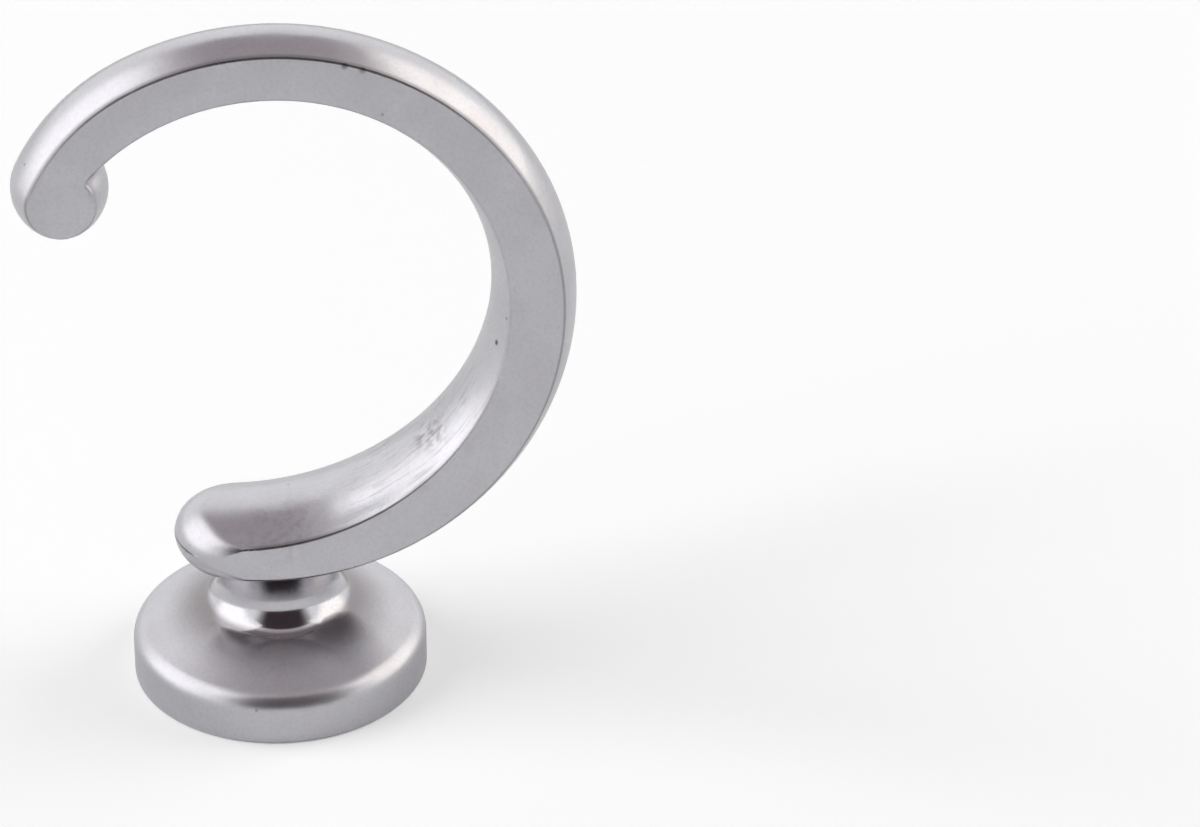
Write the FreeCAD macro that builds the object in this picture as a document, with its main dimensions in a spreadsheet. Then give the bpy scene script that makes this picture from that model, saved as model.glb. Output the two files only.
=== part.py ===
"""Curtain tie-back hook: one zinc die casting, a round foot with a waisted neck that carries an open ring.

Frame in millimetres: the origin is the centre of the foot's underside, +Z is up, the ring stands in the
XZ plane with its mouth towards -X, and its front face looks towards -Y. The casting is the same on both
sides of the XZ plane, which is its parting plane.
"""
import FreeCAD
import Part
import Sketcher
import math
import os
from FreeCAD import Placement, Rotation, Vector

# Driving sizes: name, value in millimetres or degrees, meaning
SIZES = (
    ("foot_diameter", 24.9, "round foot, across its wall"),
    ("foot_wall", 3.0, "height of the foot's upright wall"),
    ("foot_rim", 1.8, "radius of the foot's rounded rim"),
    ("foot_break", 0.3, "radius of the foot's lower edge"),
    ("foot_slope", 22, "angle at which the foot's top rises to the neck"),
    ("neck_diameter", 9.7, "neck at its waist"),
    ("neck_scoop", 2.8, "radius of the hollow between foot and waist"),
    ("neck_flare", 8.0, "radius of the flare above the waist"),
    ("neck_root", 0.2, "how far the neck runs up into the tongue"),
    ("hook_lift", 9.9, "height of the ring's lowest point above the wall that the hook is screwed to"),
    ("hook_radius", 24.0, "outer edge of the flat faces"),
    ("ring_width", 4.35, "width of the flat faces at the ring's side"),
    ("ring_taper", 0.6, "inner circle lies this much above the outer one, so the ring thins to its crest"),
    ("outer_foot_swell", 1.9, "bulge of the outer side at the parting plane, at the ring's foot"),
    ("outer_crest_swell", 1.0, "the same at the ring's crest"),
    ("inner_foot_swell", 1.5, "bulge of the inner side at the parting plane, at the tongue"),
    ("inner_crest_swell", 0.9, "the same at the ring's crest"),
    ("tongue_depth", 11.0, "depth from face to face at the ring's foot"),
    ("crest_depth", 5.8, "depth from face to face at the ring's crest"),
    ("tip_radius", 2.77, "flat of the disc that ends the ring"),
    ("tip_swell", 1.2, "bulge of the disc's side at the parting plane"),
    ("tip_angle", 144.6, "place of the tip round the ring, from +X"),
    ("tip_inset", 1.0, "how far the tip stands inside the outer circle"),
    ("tip_draw", 6.0, "how much tighter the outer edge runs near the tip"),
    ("notch_radius", 0.4, "corner where the tip's disc meets the inner edge"),
    ("tongue_ease", 2.4, "how much flatter the inner edge runs towards the tongue"),
    ("tongue_turn", 14, "angle below +X at which the inner edge starts to flatten"),
    ("nose_reach", 8.5, "tongue's round nose, from the foot's axis"),
    ("nose_stock", 1.0, "spare length that the round nose is cut from"),
    ("nose_swing", 0.6, "how much wider the nose's bull end is turned than the nose"),
    ("nose_lip", 0.04, "how far the bull end stands outside the tongue's crown and keel where it starts"),
    ("edge_radius", 0.35, "rounding of the casting's edges"),
    ("bolt_bore", 4.2, "tapping bore for the hanger bolt"),
    ("bolt_depth", 10.0, "depth of that bore"),
    ("bolt_chamfer", 0.4, "chamfer at the mouth of that bore"),
)

# Formulas that several sketches share
FACE_FOOT = "(sizes.hook_lift + sizes.outer_foot_swell)"
HOOK_CENTRE = f"({FACE_FOOT} + sizes.hook_radius)"
INNER_RADIUS = "(sizes.hook_radius - sizes.ring_width)"
FACE_SLOPE = "((sizes.tongue_depth - sizes.crest_depth) / (4 * sizes.hook_radius))"
TIP_PLACE = "(sizes.hook_radius - sizes.tip_radius - sizes.tip_inset)"
TONGUE_TOP = (f"({HOOK_CENTRE} + sizes.ring_taper + sizes.tongue_ease * sin(sizes.tongue_turn * 1 deg)"
              f" - {INNER_RADIUS} - sizes.tongue_ease)")
NOSE_RADIUS = f"(sizes.tongue_depth / 2 - ({TONGUE_TOP} - {FACE_FOOT}) * {FACE_SLOPE})"
NOSE_FLOOR = "(sizes.hook_lift - sizes.nose_stock)"
NOSE_ROOF = f"({TONGUE_TOP} + sizes.inner_foot_swell + sizes.nose_stock)"
NOSE_FOOT = f"({NOSE_RADIUS} + ({TONGUE_TOP} - {NOSE_FLOOR}) * {FACE_SLOPE})"
NOSE_HEAD = f"({NOSE_RADIUS} + ({TONGUE_TOP} - {NOSE_ROOF}) * {FACE_SLOPE})"
NOSE_STOCK_END = "(sizes.nose_reach + sizes.nose_stock)"
BULL_AXIS = f"(sizes.nose_reach - {NOSE_RADIUS} - sizes.nose_swing)"

# The bull end touches the tongue's crown and the ring's keel at the parting plane, a lip outside both
KEEL_RADIUS = ("(sizes.hook_radius + (sizes.outer_foot_swell + sizes.outer_crest_swell) / 2"
               " + sizes.nose_lip)")
BULL_TOP = f"({TONGUE_TOP} + sizes.inner_foot_swell + sizes.nose_lip)"
BULL_DROP = f"({HOOK_CENTRE} - (sizes.outer_foot_swell - sizes.outer_crest_swell) / 2 - {BULL_TOP})"
BULL_SUM = f"({BULL_DROP} + {KEEL_RADIUS} - sizes.nose_reach)"
BULL_RADIUS = (f"(sqrt({BULL_SUM} * {BULL_SUM} + {KEEL_RADIUS} * {KEEL_RADIUS}"
               f" - sizes.nose_reach * sizes.nose_reach - {BULL_DROP} * {BULL_DROP}) - {BULL_SUM})")
KEEL_TOUCH = f"((sizes.nose_reach - {BULL_RADIUS}) * {KEEL_RADIUS} / ({KEEL_RADIUS} - {BULL_RADIUS}))"

# A crease sharper than this is an edge of the casting, and is rounded
CREASE = math.radians(8)

# Lengths that differ by less than this are the same
CLOSE = 1e-6

# Ends of a sketch's line or arc, as constraints count them
START, END, CENTRE = range(1, 4)

# A sketch's own axes, as constraints count them, and its origin, where the first of them starts
ACROSS_AXIS, UPRIGHT_AXIS = range(-1, -3, -1)
ORIGIN = (ACROSS_AXIS, START)


def make_sheet(doc):
    """Put the driving sizes in a spreadsheet, one row each."""
    sheet = doc.addObject("Spreadsheet::Sheet", "sizes")
    for row, (name, value, meaning) in enumerate(SIZES, start=1):
        sheet.set(f"A{row}", meaning)
        sheet.set(f"B{row}", str(value))
        sheet.setAlias(f"B{row}", name)
    doc.recompute()
    return sheet


def number(owner, formula):
    """Value of a formula on the sheet's sizes."""
    value = owner.evalExpression(formula)
    return float(getattr(value, "Value", value))


def origin_part(body, role):
    """Plane or axis of the body's own origin."""
    return next(feature for feature in body.Origin.OriginFeatures if feature.Role == role)


def new_sketch(body, name, role):
    """Empty sketch on one of the body's origin planes."""
    sketch = body.newObject("Sketcher::SketchObject", name)
    sketch.AttachmentSupport = [(origin_part(body, role), "")]
    sketch.MapMode = "FlatFace"
    return sketch


def constrain(sketch, rules, dimensions):
    """Add the geometric rules, and the dimensions that follow formulas on the sheet's sizes.

    All are added at once, so that the drawing stays as it was drawn.
    """
    made = [Sketcher.Constraint(*one) for one in rules]
    for _, kind, references, formula in dimensions:
        made.append(Sketcher.Constraint(kind, *references, number(sketch, formula)))
    sketch.addConstraint(made)
    for index, (name, _, _, formula) in enumerate(dimensions, start=len(rules)):
        sketch.renameConstraint(index, name)
        sketch.setExpression(f"Constraints.{name}", formula)


def polar(centre, radius, angle):
    """Point at an angle round a centre."""
    return centre + Vector(radius * math.cos(angle), radius * math.sin(angle), 0)


def heading(start, end):
    """Angle of the way from one point to another."""
    return math.atan2(end.y - start.y, end.x - start.x)


def meeting(centre_a, radius_a, centre_b, radius_b, side):
    """Where two circles cross, on the left (side 1) or right (side -1) of the way from a to b."""
    way = centre_b - centre_a
    along = (radius_a ** 2 - radius_b ** 2 + way.Length ** 2) / (2 * way.Length)
    across = side * math.sqrt(radius_a ** 2 - along ** 2)
    unit = way / way.Length
    return centre_a + unit * along + Vector(-unit.y, unit.x, 0) * across


def arc(sketch, centre, radius, start, end):
    """Add an arc that runs anticlockwise from one angle to the other."""
    while end < start:
        end += 2 * math.pi
    circle = Part.Circle(centre, Vector(0, 0, 1), radius)
    return sketch.addGeometry(Part.ArcOfCircle(circle, start, end))


def line(sketch, start, end):
    """Add a straight line."""
    return sketch.addGeometry(Part.LineSegment(start, end))


def ring_outline(sketch, swell):
    """Draw the ring's outline from the tongue's end round to the tip and back.

    Swell is 0 on the flat faces and 1 at the parting plane, where the sides bulge most. The bulge grows
    evenly from the ring's crest to its foot, so a swollen circle is larger and its centre moves.
    """
    outer_centre_height = (f"{HOOK_CENTRE}"
                           f" - {swell} * (sizes.outer_foot_swell - sizes.outer_crest_swell) / 2")
    inner_centre_height = (f"{HOOK_CENTRE} + sizes.ring_taper"
                           f" + {swell} * (sizes.inner_foot_swell - sizes.inner_crest_swell) / 2")
    tip_height = f"{HOOK_CENTRE} + {TIP_PLACE} * sin(sizes.tip_angle * 1 deg)"
    tip_across = f"-{TIP_PLACE} * cos(sizes.tip_angle * 1 deg)"
    ease_across = "sizes.tongue_ease * cos(sizes.tongue_turn * 1 deg)"
    outer_radius = f"sizes.hook_radius + {swell} * (sizes.outer_foot_swell + sizes.outer_crest_swell) / 2"
    inner_radius = f"{INNER_RADIUS} - {swell} * (sizes.inner_foot_swell + sizes.inner_crest_swell) / 2"
    tip_radius = f"sizes.tip_radius + {swell} * sizes.tip_swell"

    outer = number(sketch, outer_radius)
    inner = number(sketch, inner_radius)
    tip = number(sketch, tip_radius)
    draw = number(sketch, "sizes.tip_draw")
    ease = number(sketch, "sizes.tongue_ease")
    notch = number(sketch, "sizes.notch_radius")
    end = number(sketch, NOSE_STOCK_END)
    turn = math.radians(number(sketch, "sizes.tongue_turn"))

    outer_centre = Vector(0, number(sketch, outer_centre_height), 0)
    inner_centre = Vector(0, number(sketch, inner_centre_height), 0)
    tip_centre = Vector(-number(sketch, tip_across), number(sketch, tip_height), 0)
    draw_centre = meeting(outer_centre, draw, tip_centre, outer - draw - tip, -1)
    notch_centre = meeting(tip_centre, tip + notch, inner_centre, inner - notch, 1)
    ease_centre = inner_centre + Vector(-ease * math.cos(turn), ease * math.sin(turn), 0)
    tongue_top = ease_centre.y - inner - ease
    draw_angle = heading(outer_centre, draw_centre)
    tip_angle = heading(draw_centre, tip_centre)
    notch_angle = heading(inner_centre, notch_centre)
    end_angle = -math.acos(-end / outer)

    outer_arc = arc(sketch, outer_centre, outer, end_angle, draw_angle)
    draw_arc = arc(sketch, draw_centre, outer - draw, draw_angle, tip_angle)
    tip_arc = arc(sketch, tip_centre, tip, tip_angle, heading(tip_centre, notch_centre))
    notch_arc = arc(sketch, notch_centre, notch, notch_angle, heading(notch_centre, tip_centre))
    inner_arc = arc(sketch, inner_centre, inner, -turn, notch_angle)
    ease_arc = arc(sketch, ease_centre, inner + ease, -math.pi / 2, -turn)
    top_line = line(sketch, Vector(ease_centre.x, tongue_top, 0), Vector(-end, tongue_top, 0))
    end_line = line(sketch, Vector(-end, tongue_top, 0), polar(outer_centre, outer, end_angle))

    rules = (
        ("Tangent", outer_arc, END, draw_arc, START),
        ("Tangent", draw_arc, END, tip_arc, START),
        ("Tangent", tip_arc, END, notch_arc, END),
        ("Tangent", notch_arc, START, inner_arc, END),
        ("Tangent", inner_arc, START, ease_arc, END),
        ("Tangent", ease_arc, START, top_line, START),
        ("Coincident", top_line, END, end_line, START),
        ("Coincident", end_line, END, outer_arc, START),
        ("Horizontal", top_line),
        ("Vertical", end_line),
        ("PointOnObject", outer_arc, CENTRE, UPRIGHT_AXIS),
        ("PointOnObject", inner_arc, CENTRE, UPRIGHT_AXIS),
    )
    dimensions = (
        ("outer_centre", "DistanceY", (*ORIGIN, outer_arc, CENTRE), outer_centre_height),
        ("inner_centre", "DistanceY", (*ORIGIN, inner_arc, CENTRE), inner_centre_height),
        ("tip_height", "DistanceY", (*ORIGIN, tip_arc, CENTRE), tip_height),
        ("tip_across", "DistanceX", (tip_arc, CENTRE, *ORIGIN), tip_across),
        ("ease_across", "DistanceX", (ease_arc, CENTRE, *ORIGIN), ease_across),
        ("tongue_end", "DistanceX", (end_line, START, *ORIGIN), NOSE_STOCK_END),
        ("outer_radius", "Radius", (outer_arc,), outer_radius),
        ("draw_radius", "Radius", (draw_arc,), f"{outer_radius} - sizes.tip_draw"),
        ("tip_radius", "Radius", (tip_arc,), tip_radius),
        ("notch_radius", "Radius", (notch_arc,), "sizes.notch_radius"),
        ("inner_radius", "Radius", (inner_arc,), inner_radius),
        ("ease_radius", "Radius", (ease_arc,), f"{inner_radius} + sizes.tongue_ease"),
    )
    constrain(sketch, rules, dimensions)


def face_sketch(body, name, side):
    """Outline of a flat face, front (side 1) or back (side -1); both lean in towards the crest."""
    sketch = new_sketch(body, name, "XZ_Plane")
    lean = math.degrees(math.atan(number(sketch, FACE_SLOPE)))
    sketch.AttachmentOffset = Placement(Vector(0, 0, side), Rotation(Vector(-side, 0, 0), lean))
    sketch.setExpression("AttachmentOffset.Base.z",
                         f"{side} * (sizes.tongue_depth / 2 + {FACE_FOOT} * {FACE_SLOPE})")
    sketch.setExpression("AttachmentOffset.Rotation.Angle", f"atan({FACE_SLOPE})")
    ring_outline(sketch, 0)
    return sketch


def make_ring(body):
    """Loft the ring through its front face, its swollen outline at the parting plane and its back face."""
    front = face_sketch(body, "front_face", 1)
    middle = new_sketch(body, "parting_outline", "XZ_Plane")
    ring_outline(middle, 1)
    back = face_sketch(body, "back_face", -1)
    body.Document.recompute()
    ring = body.newObject("PartDesign::AdditiveLoft", "ring")
    ring.Profile = back
    ring.Sections = [middle, front]
    ring.Ruled = False
    body.Document.recompute()
    return ring


def turn_away(body, sketch, name):
    """Cut a sketch away round its upright axis, on the tongue's side only."""
    cut = body.newObject("PartDesign::Groove", name)
    cut.Profile = sketch
    cut.ReferenceAxis = (sketch, ["V_Axis"])
    cut.Midplane = True
    cut.Angle = 180
    body.Document.recompute()
    return cut


def round_nose(body):
    """Turn the tongue's end to a round nose, whose wall runs smoothly into both faces."""
    sketch = new_sketch(body, "nose_outside", "XZ_Plane")
    sketch.setExpression("AttachmentOffset.Base.x", f"{NOSE_RADIUS} - sizes.nose_reach")
    wall_foot = Vector(-number(sketch, NOSE_FOOT), number(sketch, NOSE_FLOOR), 0)
    wall_head = Vector(-number(sketch, NOSE_HEAD), number(sketch, NOSE_ROOF), 0)
    far_head = Vector(-2 * number(sketch, NOSE_RADIUS), wall_head.y, 0)
    far_foot = Vector(far_head.x, wall_foot.y, 0)

    wall = line(sketch, wall_foot, wall_head)
    roof = line(sketch, wall_head, far_head)
    far_side = line(sketch, far_head, far_foot)
    base = line(sketch, far_foot, wall_foot)

    rules = (
        ("Coincident", wall, END, roof, START),
        ("Coincident", roof, END, far_side, START),
        ("Coincident", far_side, END, base, START),
        ("Coincident", base, END, wall, START),
        ("Horizontal", roof),
        ("Vertical", far_side),
        ("Horizontal", base),
    )
    dimensions = (
        ("nose_foot", "DistanceX", (wall, START, *ORIGIN), NOSE_FOOT),
        ("nose_head", "DistanceX", (wall, END, *ORIGIN), NOSE_HEAD),
        ("nose_floor", "DistanceY", (*ORIGIN, wall, START), NOSE_FLOOR),
        ("nose_roof", "DistanceY", (*ORIGIN, wall, END), NOSE_ROOF),
        ("far_side", "DistanceX", (far_side, START, *ORIGIN), f"2 * {NOSE_RADIUS}"),
    )
    constrain(sketch, rules, dimensions)
    body.Document.recompute()
    return turn_away(body, sketch, "nose")


def bull_nose(body):
    """Round the nose from top to bottom as well, most at its tip and not at all at the faces."""
    sketch = new_sketch(body, "bull_outside", "XZ_Plane")
    sketch.setExpression("AttachmentOffset.Base.x", f"-{BULL_AXIS}")
    reach_formula = f"sizes.nose_reach - {BULL_AXIS}"
    touch_formula = f"{KEEL_TOUCH} - {BULL_AXIS}"
    far_formula = f"2 * ({reach_formula})"
    reach = number(sketch, reach_formula)
    touch = number(sketch, touch_formula)
    far = number(sketch, far_formula)
    bull = number(sketch, BULL_RADIUS)
    top = number(sketch, BULL_TOP)
    floor = number(sketch, NOSE_FLOOR)
    roof = number(sketch, NOSE_ROOF)

    centre = Vector(bull - reach, top - bull, 0)
    crown = polar(centre, bull, math.pi / 2)
    keel_angle = math.pi + math.acos((touch + centre.x) / bull)
    keel = polar(centre, bull, keel_angle)
    bull_arc = arc(sketch, centre, bull, math.pi / 2, keel_angle)
    drop = line(sketch, keel, Vector(keel.x, floor, 0))
    base = line(sketch, Vector(keel.x, floor, 0), Vector(-far, floor, 0))
    far_side = line(sketch, Vector(-far, floor, 0), Vector(-far, roof, 0))
    ceiling = line(sketch, Vector(-far, roof, 0), Vector(crown.x, roof, 0))
    rise = line(sketch, Vector(crown.x, roof, 0), crown)

    rules = (
        ("Coincident", bull_arc, END, drop, START),
        ("Coincident", drop, END, base, START),
        ("Coincident", base, END, far_side, START),
        ("Coincident", far_side, END, ceiling, START),
        ("Coincident", ceiling, END, rise, START),
        ("Coincident", rise, END, bull_arc, START),
        ("Vertical", bull_arc, START, bull_arc, CENTRE),
        ("Vertical", drop),
        ("Horizontal", base),
        ("Vertical", far_side),
        ("Horizontal", ceiling),
        ("Vertical", rise),
    )
    dimensions = (
        ("bull_radius", "Radius", (bull_arc,), BULL_RADIUS),
        ("bull_centre", "DistanceX", (bull_arc, CENTRE, *ORIGIN), f"{reach_formula} - {BULL_RADIUS}"),
        ("bull_top", "DistanceY", (*ORIGIN, bull_arc, START), BULL_TOP),
        ("keel_touch", "DistanceX", (drop, START, *ORIGIN), touch_formula),
        ("bull_floor", "DistanceY", (*ORIGIN, base, START), NOSE_FLOOR),
        ("bull_roof", "DistanceY", (*ORIGIN, ceiling, START), NOSE_ROOF),
        ("far_side", "DistanceX", (far_side, START, *ORIGIN), far_formula),
    )
    constrain(sketch, rules, dimensions)
    body.Document.recompute()
    return turn_away(body, sketch, "bull_end")


def normal_near(face, point):
    """Outward normal of a face at the point of it that is nearest to a given point."""
    return face.normalAt(*face.Surface.parameter(point))


def middle(edge):
    """Point halfway along an edge."""
    return edge.valueAt((edge.FirstParameter + edge.LastParameter) / 2)


def crease(shape, edge):
    """Angle between the two faces that meet at the middle of an edge."""
    faces = shape.ancestorsOfType(edge, Part.Face)
    if len(faces) < 2:
        return 0
    point = middle(edge)
    return normal_near(faces[0], point).getAngle(normal_near(faces[1], point))


def round_edges(body, ring):
    """Round the edges of the cast ring, but not of the spare stock that the nose is cut from."""
    stock_end = -number(ring, NOSE_STOCK_END)
    edges = [f"Edge{index}" for index, edge in enumerate(ring.Shape.Edges, start=1)
             if crease(ring.Shape, edge) > CREASE and middle(edge).x > stock_end + CLOSE]
    rounding = body.newObject("PartDesign::Fillet", "edge_rounding")
    rounding.Base = (ring, edges)
    rounding.setExpression("Radius", "sizes.edge_radius")
    body.Document.recompute()
    return rounding


def make_foot(body):
    """Turn the foot and the neck: upright wall, round rim, rising top, hollow, waist and flare."""
    sketch = new_sketch(body, "foot_section", "XZ_Plane")
    root_formula = f"{FACE_FOOT} + sizes.neck_root"
    radius = number(sketch, "sizes.foot_diameter / 2")
    wall = number(sketch, "sizes.foot_wall")
    rim = number(sketch, "sizes.foot_rim")
    edge = number(sketch, "sizes.foot_break")
    waist = number(sketch, "sizes.neck_diameter / 2")
    scoop = number(sketch, "sizes.neck_scoop")
    flare = number(sketch, "sizes.neck_flare")
    root = number(sketch, root_formula)
    slope = math.radians(number(sketch, "sizes.foot_slope"))
    upwards = math.pi / 2 - slope

    rim_centre = Vector(radius - rim, wall, 0)
    top_outer = polar(rim_centre, rim, upwards)
    scoop_x = waist + scoop
    top_inner_x = scoop_x - scoop * math.sin(slope)
    top_inner = Vector(top_inner_x, top_outer.y + (top_outer.x - top_inner_x) * math.tan(slope), 0)
    scoop_centre = polar(top_inner, scoop, upwards)
    flare_centre = Vector(waist + flare, scoop_centre.y, 0)
    root_angle = math.pi - math.asin((root - flare_centre.y) / flare)
    root_point = polar(flare_centre, flare, root_angle)

    under = line(sketch, Vector(0, 0, 0), Vector(radius - edge, 0, 0))
    edge_arc = arc(sketch, Vector(radius - edge, edge, 0), edge, -math.pi / 2, 0)
    wall_line = line(sketch, Vector(radius, edge, 0), Vector(radius, wall, 0))
    rim_arc = arc(sketch, rim_centre, rim, 0, upwards)
    top_line = line(sketch, top_outer, top_inner)
    scoop_arc = arc(sketch, scoop_centre, scoop, math.pi, math.pi + upwards)
    flare_arc = arc(sketch, flare_centre, flare, root_angle, math.pi)
    root_line = line(sketch, root_point, Vector(0, root, 0))
    axis_line = line(sketch, Vector(0, root, 0), Vector(0, 0, 0))

    rules = (
        ("Coincident", under, START, *ORIGIN),
        ("Horizontal", under),
        ("Tangent", under, END, edge_arc, START),
        ("Tangent", edge_arc, END, wall_line, START),
        ("Vertical", wall_line),
        ("Tangent", wall_line, END, rim_arc, START),
        ("Tangent", rim_arc, END, top_line, START),
        ("Tangent", top_line, END, scoop_arc, END),
        ("Coincident", scoop_arc, START, flare_arc, END),
        ("Horizontal", scoop_arc, CENTRE, scoop_arc, START),
        ("Horizontal", flare_arc, CENTRE, flare_arc, END),
        ("Coincident", flare_arc, START, root_line, START),
        ("Horizontal", root_line),
        ("Coincident", root_line, END, axis_line, START),
        ("Coincident", axis_line, END, *ORIGIN),
        ("Vertical", axis_line),
    )
    dimensions = (
        ("foot_radius", "DistanceX", (*ORIGIN, wall_line, END), "sizes.foot_diameter / 2"),
        ("foot_wall", "DistanceY", (*ORIGIN, wall_line, END), "sizes.foot_wall"),
        ("foot_break", "Radius", (edge_arc,), "sizes.foot_break"),
        ("foot_rim", "Radius", (rim_arc,), "sizes.foot_rim"),
        ("foot_slope", "Angle", (top_line,), "(180 - sizes.foot_slope) * 1 deg"),
        ("neck_waist", "DistanceX", (*ORIGIN, scoop_arc, START), "sizes.neck_diameter / 2"),
        ("neck_scoop", "Radius", (scoop_arc,), "sizes.neck_scoop"),
        ("neck_flare", "Radius", (flare_arc,), "sizes.neck_flare"),
        ("neck_root", "DistanceY", (*ORIGIN, axis_line, START), root_formula),
    )
    constrain(sketch, rules, dimensions)
    body.Document.recompute()

    foot = body.newObject("PartDesign::Revolution", "foot")
    foot.Profile = sketch
    foot.ReferenceAxis = (sketch, ["V_Axis"])
    foot.Angle = 360
    body.Document.recompute()
    return foot


def drill_bolt_hole(body):
    """Drill the tapping bore for the hanger bolt up into the foot, and chamfer its mouth."""
    sketch = new_sketch(body, "bolt_place", "XY_Plane")
    radius = number(sketch, "sizes.bolt_bore / 2")
    circle = sketch.addGeometry(Part.Circle(Vector(0, 0, 0), Vector(0, 0, 1), radius))
    rules = (
        ("Coincident", circle, CENTRE, *ORIGIN),
    )
    dimensions = (
        ("bolt_bore", "Diameter", (circle,), "sizes.bolt_bore"),
    )
    constrain(sketch, rules, dimensions)
    body.Document.recompute()

    bore = body.newObject("PartDesign::Hole", "bolt_hole")
    bore.Profile = sketch
    bore.Reversed = True
    bore.Threaded = False
    bore.DepthType = "Dimension"
    bore.DrillPoint = "Angled"
    bore.setExpression("Diameter", "sizes.bolt_bore")
    bore.setExpression("Depth", "sizes.bolt_depth")
    body.Document.recompute()

    mouth = [f"Edge{index}" for index, edge in enumerate(bore.Shape.Edges, start=1)
             if abs(edge.BoundBox.ZMax) < CLOSE
             and abs(edge.BoundBox.XMax - bore.Diameter.Value / 2) < CLOSE]
    chamfer = body.newObject("PartDesign::Chamfer", "bolt_mouth")
    chamfer.Base = (bore, mouth)
    chamfer.setExpression("Size", "sizes.bolt_chamfer")
    body.Document.recompute()
    return chamfer


def make_hook(doc):
    """The whole casting as one body."""
    body = doc.addObject("PartDesign::Body", "curtain_hook")
    body.Label = "curtain_hook"
    round_edges(body, make_ring(body))
    round_nose(body)
    bull_nose(body)
    make_foot(body)
    body.Tip = drill_bolt_hole(body)
    body.Placement = Placement()
    doc.recompute()
    return body


def check(doc, body):
    """Stop if a feature failed, or took away or added nothing."""
    failed = [item.Name for item in doc.Objects if "Invalid" in item.State or "Error" in item.State]
    if failed:
        raise RuntimeError(f"these features failed: {failed}")
    shape = body.Shape
    if shape.isNull() or not shape.isValid() or len(shape.Solids) != 1:
        raise RuntimeError("the hook isn't one valid solid")
    cuts = (
        ("ring", "edge_rounding"),
        ("edge_rounding", "nose"),
        ("nose", "bull_end"),
        ("foot", "bolt_hole"),
    )
    for before, cut in cuts:
        if doc.getObject(cut).Shape.Volume >= doc.getObject(before).Shape.Volume:
            raise RuntimeError(f"{cut} cut nothing")


def main():
    """Build the hook and write it as a STEP file."""
    doc = FreeCAD.newDocument("curtain_hook")
    make_sheet(doc)
    hook = make_hook(doc)
    check(doc, hook)
    os.makedirs("parts", exist_ok=True)
    hook.Shape.exportStep(f"parts/{hook.Label}.step")
    box = hook.Shape.optimalBoundingBox()
    print(f"{hook.Label}: {box.XLength:.2f} x {box.YLength:.2f} x {box.ZLength:.2f} mm,"
          f" {hook.Shape.Volume:.0f} cubic mm")


main()
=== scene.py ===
"""Curtain tie-back hook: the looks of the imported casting, the thread in its bore, and a small studio.

The file is laid out as an add-on and run as a script. Objects are in metres and in the frame of the
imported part: the origin is the centre of the foot's underside, +Z is up, and the ring's front looks
towards -Y. The hook's sizes below are in millimetres, and the studio's are in metres and degrees.
"""
import math
import bmesh
import bpy
import numpy as np
from bpy.props import FloatProperty, FloatVectorProperty, PointerProperty
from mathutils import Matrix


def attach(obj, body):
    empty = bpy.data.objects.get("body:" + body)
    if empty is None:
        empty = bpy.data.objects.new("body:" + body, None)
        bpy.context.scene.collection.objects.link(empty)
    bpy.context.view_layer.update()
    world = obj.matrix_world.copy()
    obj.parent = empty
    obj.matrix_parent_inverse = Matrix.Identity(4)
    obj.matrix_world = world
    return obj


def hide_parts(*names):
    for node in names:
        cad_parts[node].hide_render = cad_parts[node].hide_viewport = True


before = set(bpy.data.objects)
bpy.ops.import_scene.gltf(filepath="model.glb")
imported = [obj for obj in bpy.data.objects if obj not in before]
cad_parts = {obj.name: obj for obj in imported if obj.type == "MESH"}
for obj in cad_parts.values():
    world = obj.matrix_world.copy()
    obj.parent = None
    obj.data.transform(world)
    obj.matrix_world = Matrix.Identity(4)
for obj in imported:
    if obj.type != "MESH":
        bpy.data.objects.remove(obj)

bl_info = {
    "name": "Curtain Hook",
    "version": (1, 0, 0),
    "blender": (4, 5, 0),
    "location": "View3D > Sidebar > Curtain Hook",
    "description": "Dresses the cast curtain hook and sets up its studio",
    "category": "Object",
}

MM = 0.001
CASTING = "curtain_hook"

# Section of the foot and neck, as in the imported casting
FOOT_RADIUS = 12.45
FOOT_WALL = 3.0
FOOT_RIM = 1.8
FOOT_BREAK = 0.3
FOOT_SLOPE = math.radians(22)
NECK_WAIST = 4.85
NECK_SCOOP = 2.8
NECK_FLARE = 8.0
NECK_ROOT = 12.0
BORE_RADIUS = 2.1
BORE_DEPTH = 10.0
BORE_CHAMFER = 0.4
DRILL_POINT = math.radians(31)

# Steps round the foot, and points along each run of its section
FOOT_STEPS = 240
FOOT_POINTS = {
    "drill_point": 6,
    "bore": 200,
    "chamfer": 4,
    "underside": 12,
    "break": 9,
    "wall": 6,
    "rim": 24,
    "top": 16,
    "scoop": 40,
    "flare": 40,
}

# Coarse M5 thread in the bore
THREAD_PITCH = 0.8
THREAD_DEPTH = 0.4

# Nose of the tongue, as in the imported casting: its turning axis and radius, the heights of the tongue's
# crown and of its face's edge, the lean of the faces, and the circles of the keel at the parting plane and
# at the faces
NOSE_AXIS = 3.1696
NOSE_RADIUS = 5.3304
TONGUE_CROWN = 16.4306
TONGUE_EDGE = 14.9306
FACE_LEAN = 0.0541667
KEEL_CENTRE, KEEL_RADIUS = 35.35, 25.45
FACE_CENTRE, FACE_RADIUS = 35.8, 24.0

# Rounding of the nose's corners along each side: what it is at the faces, and what it gains up to the
# tip. The weight is that of the knee in the corner's arc.
EDGE_LEG = 0.19
CROWN_LEG = 2.7
KEEL_LEG = 2.2
CORNER_WEIGHT = 0.75

# Steps round the nose, and points along each side and corner of its section
NOSE_STEPS = 97
SIDE_POINTS = 28
CORNER_POINTS = 24

# How far the neck and the keel run into each other, how near two points are one, and how near to the
# foot's section and to the cut at the nose's axis a point of the casting lies on it
OVERLAP = 0.08
SAME_POINT = 0.001
ON_SECTION = 0.03
ON_CUT = 0.00001

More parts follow.
